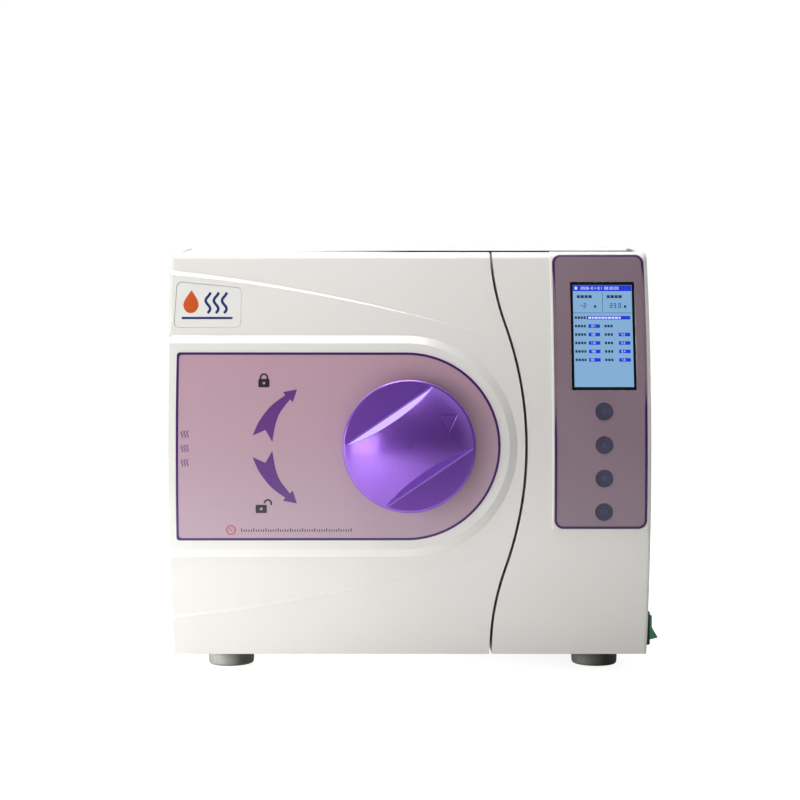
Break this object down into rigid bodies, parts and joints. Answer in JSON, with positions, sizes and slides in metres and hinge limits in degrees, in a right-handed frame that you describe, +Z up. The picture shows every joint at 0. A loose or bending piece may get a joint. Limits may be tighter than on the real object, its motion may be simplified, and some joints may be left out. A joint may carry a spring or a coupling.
{
  "type": "benchtop autoclave",
  "caption": "Benchtop steam autoclave: sheet-metal cabinet, bulged side-hinged front door with a rotary lock knob, round pressure chamber with trays, and a control column with display and keys.",
  "frame": {"origin": "on the bench under the chamber's axis, half way through the cabinet's depth", "axes": "+X to the right seen from the front, +Y to the back, +Z up"},
  "size_m": [0.4922, 0.6536, 0.4443],
  "materials": {
    "shell_white": "glossy moulded",
    "label_mauve": "satin printed film",
    "knob_purple": "satin metallic paint",
    "hood_paint": "fine powder coat",
    "zinc_steel": "zinc plated",
    "bolt_steel": "ground",
    "stainless": "brushed",
    "gasket_silicone": "translucent silicone",
    "foot_rubber": "matt",
    "screw_steel": "plated",
    "liner_plastic": "fine grain",
    "plate_plastic": "printed plate",
    "display_black": "black",
    "display_glass": "backlit",
    "key_grey": "soft key",
    "board_green": "solder mask",
    "tank_plastic": "translucent moulded",
    "felt": "felt",
    "heater_metal": "mica faced band",
    "brass": "machined",
    "black_plastic": "moulded",
    "pump_metal": "cast",
    "filter_plastic": "moulded",
    "rocker_green": "lit translucent"
  },
  "bodies": {
    "root": {"air_filter": "filter_plastic", "base_tray": "hood_paint", "cabinet_screws": "screw_steel", "chamber": "stainless", "chamber_jacket": "felt", "chamber_saddles": "zinc_steel", "clean_tank": "tank_plastic", "condenser": "pump_metal", "control_board": "board_green", "control_column": "shell_white", "control_film": "label_mauve", "display_frame": "display_black", "display_panel": "display_glass", "door_interlock": "black_plastic", "fan_guard": "screw_steel", "fan_housing": "black_plastic", "feet": "foot_rubber", "front_frame": "zinc_steel", "heater_bands": "heater_metal", "hinge_brackets": "zinc_steel", "hinge_pins": "bolt_steel", "hose_spigots": "brass", "hoses": "gasket_silicone", "lid_hinge": "zinc_steel", "lock_keepers": "zinc_steel", "outer_hood": "hood_paint", "power_board": "board_green", "power_inlet": "black_plastic", "pumps_and_valves": "pump_metal", "rear_panel": "hood_paint", "safety_valve": "brass", "steam_generator": "stainless", "switch_housing": "black_plastic", "tray_rack": "stainless", "trays": "stainless", "waste_tank": "tank_plastic", "wiring_loom": "black_plastic"},
    "door": {"door_cover": "shell_white", "door_film": "label_mauve", "makers_plate": "plate_plastic", "door_liner": "liner_plastic", "carrier_plate": "zinc_steel", "pressure_plate": "stainless", "door_gasket": "gasket_silicone", "spindle_bush": "brass"},
    "knob": {"knob": "knob_purple", "knob_spindle": "bolt_steel", "cam_disc": "zinc_steel"},
    "lock_bolt_1": {"lock_bolt_1": "bolt_steel"},
    "lock_bolt_2": {"lock_bolt_2": "bolt_steel"},
    "lock_bolt_3": {"lock_bolt_3": "bolt_steel"},
    "lock_bolt_4": {"lock_bolt_4": "bolt_steel"},
    "key_set": {"key_set": "key_grey"},
    "key_down": {"key_down": "key_grey"},
    "key_up": {"key_up": "key_grey"},
    "key_start": {"key_start": "key_grey"},
    "power_rocker": {"power_rocker": "rocker_green"},
    "tank_lid": {"tank_lid": "liner_plastic"},
    "fan_rotor": {"fan_rotor": "black_plastic"},
    "interlock_pin": {"interlock_pin": "bolt_steel"}
  },
  "joints": [
    {"name": "door_hinge", "type": "hinge", "parent": "root", "child": "door", "pos_m": [-0.23, -0.226, 0.23], "axis": [0, 0, 1], "range_deg": [-95, 0]},
    {"name": "knob_turn", "type": "hinge", "parent": "door", "child": "knob", "pos_m": [0, -0.3, 0.23], "axis": [0, 1, 0], "range_deg": [0, 90]},
    {"name": "bolt_1_slide", "type": "slide", "parent": "door", "child": "lock_bolt_1", "axis": [0.6428, 0, 0.766], "range_m": [0, 0.0181]},
    {"name": "bolt_2_slide", "type": "slide", "parent": "door", "child": "lock_bolt_2", "axis": [-0.6428, 0, 0.766], "range_m": [0, 0.0181]},
    {"name": "bolt_3_slide", "type": "slide", "parent": "door", "child": "lock_bolt_3", "axis": [-0.6428, 0, -0.766], "range_m": [0, 0.0181]},
    {"name": "bolt_4_slide", "type": "slide", "parent": "door", "child": "lock_bolt_4", "axis": [0.6428, 0, -0.766], "range_m": [0, 0.0181]},
    {"name": "key_set_press", "type": "slide", "parent": "root", "child": "key_set", "axis": [0, 1, 0], "range_m": [0, 0.0008]},
    {"name": "key_down_press", "type": "slide", "parent": "root", "child": "key_down", "axis": [0, 1, 0], "range_m": [0, 0.0008]},
    {"name": "key_up_press", "type": "slide", "parent": "root", "child": "key_up", "axis": [0, 1, 0], "range_m": [0, 0.0008]},
    {"name": "key_start_press", "type": "slide", "parent": "root", "child": "key_start", "axis": [0, 1, 0], "range_m": [0, 0.0008]},
    {"name": "power_rocker_tilt", "type": "hinge", "parent": "root", "child": "power_rocker", "pos_m": [0.245, -0.236, 0.0455], "axis": [0, 1, 0], "range_deg": [0, 30]},
    {"name": "tank_lid_hinge", "type": "hinge", "parent": "root", "child": "tank_lid", "pos_m": [0.14, 0.229, 0.4408], "axis": [-1, 0, 0], "range_deg": [0, 95]},
    {"name": "fan_spin", "type": "hinge", "parent": "root", "child": "fan_rotor", "pos_m": [-0.15, 0.264, 0.12], "axis": [0, 1, 0], "continuous": true},
    {"name": "interlock_pin_slide", "type": "slide", "parent": "root", "child": "interlock_pin", "axis": [0, -1, 0], "range_m": [0, 0.008]}
  ],
  "couplings": [
    {"joint": "bolt_1_slide", "follows": "knob_turn", "m_per_rad": 0.011459},
    {"joint": "bolt_2_slide", "follows": "knob_turn", "m_per_rad": 0.011459},
    {"joint": "bolt_3_slide", "follows": "knob_turn", "m_per_rad": 0.011459},
    {"joint": "bolt_4_slide", "follows": "knob_turn", "m_per_rad": 0.011459}
  ]
}
